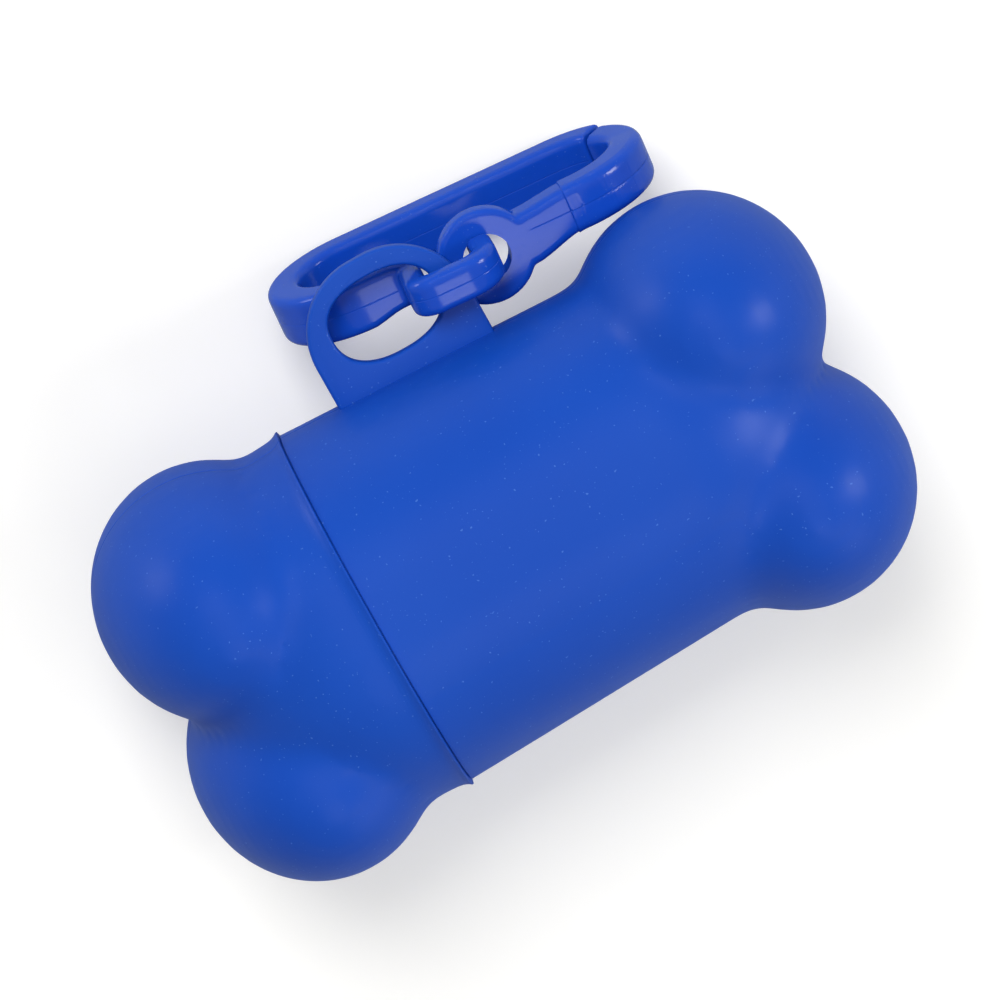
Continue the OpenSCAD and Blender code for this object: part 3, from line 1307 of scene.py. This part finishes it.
@dataclass
class BagRoll:
    """The roll of bags: layered film, its loose tail and the core."""

    length: float = 57.0
    outer_r: float = 14.0
    core_r: float = 8.5
    core_wall: float = 1.2
    proud: float = 0.5
    drop: float = 0.7255
    layers: int = 26
    ripple: float = 0.16
    tail_angle: float = 62.0
    tail_grid: tuple[int, int] = (48, 40)
    rings: int = 28
    roll_steps: int = 160

    def build(self) -> list[Dressed]:
        """Model the roll, its tail and its core.

        Returns:
            The pieces, all of the roll.
        """
        film = [self._roll(), self._tail()]
        core = self._core()
        place = Matrix.Translation(BONE_CENTRE - Vector((0, 0, self.drop * MM)))
        for piece in [*film, core]:
            settle(piece, place)
            soften_shading(piece, math.radians(55))
        return [*((piece, "roll", "bag_roll", Slot.FILM) for piece in film),
                (core, "roll", "roll_core", Slot.CARD)]

    def _end_face(self, side: int) -> list[tuple[float, float]]:
        """List the layers' edges at one end, from the core outwards.

        Args:
            side: 1 or -1 along the roll.

        Returns:
            Points (place along X, radius).
        """
        random.seed(7 + side)
        points = []
        for i in range(2 * self.layers + 1):
            radius = self.core_r + (self.outer_r - self.core_r - 0.25) * i / (2 * self.layers)
            back = 0.05 + (random.uniform(0.1, 1.0) * self.ripple if i % 2 else 0.0)
            points.append((side * (self.length / 2 - back), radius))
        points.append((side * (self.length / 2 - 0.3), self.outer_r - 0.02))
        return points

    def _roll(self) -> Obj:
        """Wind the roll, with uneven layers at its ends."""
        right = self._end_face(1)
        left = self._end_face(-1)
        span = self.length - 2.0
        middle = [(span * (0.5 - i / self.rings), self.outer_r - 0.06)
                  for i in range(self.rings + 1)]
        roll = ring("BagRollFilm", [*right, *middle, *reversed(left)], self.roll_steps)
        for vert in roll.data.vertices:
            across = Vector((0, vert.co.y, vert.co.z))
            share = max(0.0, (across.length / MM - self.core_r - 1) / (self.outer_r - self.core_r))
            wave = noise.noise(Vector((vert.co.x * 60, vert.co.y * 110, vert.co.z * 110)))
            vert.co -= across.normalized() * share * abs(wave) * 0.22 * MM
        return roll

    def _tail(self) -> Obj:
        """Lay the loose end of the last bag over the roll."""
        columns, rows = self.tail_grid
        width = self.length - 1.2
        bpy.ops.mesh.primitive_grid_add(x_subdivisions=columns, y_subdivisions=rows, size=1)
        tail = named("BagTail")
        for vert in tail.data.vertices:
            along, round_share = vert.co.x * width, vert.co.y + 0.5
            lift = 0.1 + 0.55 * round_share ** 3 * (
                1 + 0.5 * noise.noise(Vector((along * 0.12, 3.1, round_share * 2))))
            angle = math.radians(-20 - self.tail_angle * round_share
                                 - 3 * noise.noise(Vector((along * 0.1, 0, 0))) * round_share)
            reach = self.outer_r - 0.05 + lift * 0.5
            vert.co = Vector((along, reach * math.cos(angle), reach * math.sin(angle))) * MM
        finish_with(tail, "SOLIDIFY", thickness=0.06 * MM, offset=0)
        return tail

    def _core(self) -> Obj:
        """Turn the core's tube, with worn rims."""
        end = self.length / 2 + self.proud
        inner, outer = self.core_r - self.core_wall, self.core_r - 0.01
        profile = [(end - 0.25, outer), (end - 0.05, outer - 0.2), (end, outer - 0.45),
                   (end, inner + 0.35), (end - 0.08, inner + 0.12), (end - 0.3, inner)]
        mirrored = [(-along, radius) for along, radius in reversed(profile)]
        return ring("RollCore", [*profile, *mirrored], 128)


# ---- The studio ----

@dataclass(frozen=True)
class SoftBox:
    """One soft lamp, placed by its direction from the bone in the picture."""

    name: str
    right: float
    up: float
    near: float
    size: tuple[float, float]
    power: float
    mirrored: bool


@dataclass
class Studio:
    """Pale floor, soft lamps and the camera at the photograph's angle."""

    turn: float = 29.3
    tilt: float = 12.0
    distance: float = 460.0
    scale: float = 9.4
    right_of_centre: float = 0.49
    below_centre: float = 3.73
    image: int = 1000
    sensor: float = 36.0
    floor_size: float = 2400.0
    floor_share: float = 0.28
    floor_colour: tuple[float, ...] = (0.8, 0.79, 0.755, 1)
    floor_mirrored: tuple[float, ...] = (0.28, 0.34, 0.50, 1)
    world_strength: float = 0.3
    lamps: tuple[SoftBox, ...] = (
        SoftBox("Key", -190, 280, 760, (420, 420), 4.7, False),
        SoftBox("Front", 60, -60, 900, (600, 600), 1.2, False),
        SoftBox("RightFill", 560, -420, 150, (420, 300), 1.5, False),
        SoftBox("LeftWindow", -640, 300, 60, (260, 300), 1.0, True),
        SoftBox("RightWindow", 560, 160, 330, (170, 200), 0.8, True),
        SoftBox("LowWindow", 280, -500, 640, (170, 260), 0.3, True),
    )

    def axes(self) -> tuple[Vector, Vector, Vector]:
        """The picture's right, up and near directions in the part's frame."""
        tilt, turn = math.radians(self.tilt), math.radians(self.turn)
        along = Vector((1, 0, 0))
        across = Vector((0, math.cos(tilt), -math.sin(tilt)))
        right = along * math.cos(turn) - across * math.sin(turn)
        up = along * math.sin(turn) + across * math.cos(turn)
        return right, up, right.cross(up)

    def build(self) -> None:
        """Set up the camera, the lamps, the floor and the world."""
        self._camera()
        for lamp in self.lamps:
            self._lamp(lamp)
        self._floor()
        self._world()
        bpy.context.scene.view_settings.view_transform = "Standard"

    def _facing(self, place: Vector) -> Matrix:
        """The turn that makes a lamp at a place look at the bone."""
        return (place - BONE_CENTRE).to_track_quat("Z", "Y").to_matrix().to_4x4()

    def _camera(self) -> None:
        """Place the camera so that the bone lands where it does in the photo."""
        right, up, near = self.axes()
        lens = self.scale * self.sensor * self.distance / self.image
        aim = BONE_CENTRE + (up * self.below_centre - right * self.right_of_centre) * MM
        data = bpy.data.cameras.new("Camera")
        data.sensor_width = self.sensor
        data.lens = lens
        data.clip_start = 0.01
        data.clip_end = 20.0
        camera = bpy.data.objects.new("Camera", data)
        bpy.context.collection.objects.link(camera)
        turned = Matrix((right, up, near)).transposed().to_4x4()
        camera.matrix_world = Matrix.Translation(aim + near * self.distance * MM) @ turned
        bpy.context.scene.camera = camera

    def _lamp(self, lamp: SoftBox) -> None:
        """Hang one soft lamp."""
        right, up, near = self.axes()
        data = bpy.data.lights.new(lamp.name, "AREA")
        data.shape = "RECTANGLE"
        data.size, data.size_y = (side * MM for side in lamp.size)
        data.energy = lamp.power
        light = bpy.data.objects.new(lamp.name, data)
        bpy.context.collection.objects.link(light)
        offset = (right * lamp.right + up * lamp.up + near * lamp.near) * MM
        place = BONE_CENTRE + offset
        light.matrix_world = Matrix.Translation(place) @ self._facing(place)
        light.visible_glossy = lamp.mirrored

    def _floor(self) -> None:
        """Lay the pale floor, white to the camera and shadowed by the part."""
        bpy.ops.mesh.primitive_plane_add(size=self.floor_size * MM)
        floor = named("Floor")
        material = bpy.data.materials.new("Floor")
        material.use_nodes = True
        nodes, links = material.node_tree.nodes, material.node_tree.links
        nodes.clear()
        output = nodes.new("ShaderNodeOutputMaterial")
        total = nodes.new("ShaderNodeAddShader")
        paint = nodes.new("ShaderNodeBsdfDiffuse")
        dimmed = nodes.new("ShaderNodeMix")
        dimmed.data_type = "RGBA"
        dimmed.inputs[6].default_value = self.floor_colour
        dimmed.inputs[7].default_value = self.floor_mirrored
        glow = nodes.new("ShaderNodeEmission")
        path = nodes.new("ShaderNodeLightPath")
        share = nodes.new("ShaderNodeMath")
        share.operation = "MULTIPLY"
        share.inputs[1].default_value = self.floor_share
        for source, target in (
                (path.outputs["Is Camera Ray"], share.inputs[0]),
                (share.outputs[0], glow.inputs["Strength"]),
                (path.outputs["Is Glossy Ray"], dimmed.inputs[0]),
                (dimmed.outputs[2], paint.inputs["Color"]),
                (paint.outputs[0], total.inputs[0]), (glow.outputs[0], total.inputs[1]),
                (total.outputs[0], output.inputs[0])):
            links.new(source, target)
        floor.data.materials.append(material)

    def _world(self) -> None:
        """Light the part softly from all round, with a white backdrop."""
        world = bpy.data.worlds.new("Studio")
        bpy.context.scene.world = world
        world.use_nodes = True
        nodes, links = world.node_tree.nodes, world.node_tree.links
        nodes.clear()
        output = nodes.new("ShaderNodeOutputWorld")
        mix = nodes.new("ShaderNodeMixShader")
        path = nodes.new("ShaderNodeLightPath")
        soft = nodes.new("ShaderNodeBackground")
        soft.inputs["Strength"].default_value = self.world_strength
        white = nodes.new("ShaderNodeBackground")
        white.inputs["Strength"].default_value = 1.0
        links.new(path.outputs["Is Camera Ray"], mix.inputs[0])
        links.new(soft.outputs[0], mix.inputs[1])
        links.new(white.outputs[0], mix.inputs[2])
        links.new(mix.outputs[0], output.inputs[0])


def main() -> None:
    """Build, dress and place every piece, then the studio."""
    finishes = Finishes()
    for assembly in (BoneBody(), EndCap(), BagRoll(), SnapClip()):
        LOG.info("building %s", type(assembly).__name__)
        for piece in assembly.build():
            hand_over(*piece, finishes)
    Studio().build()


if __name__ == "__main__":
    main()
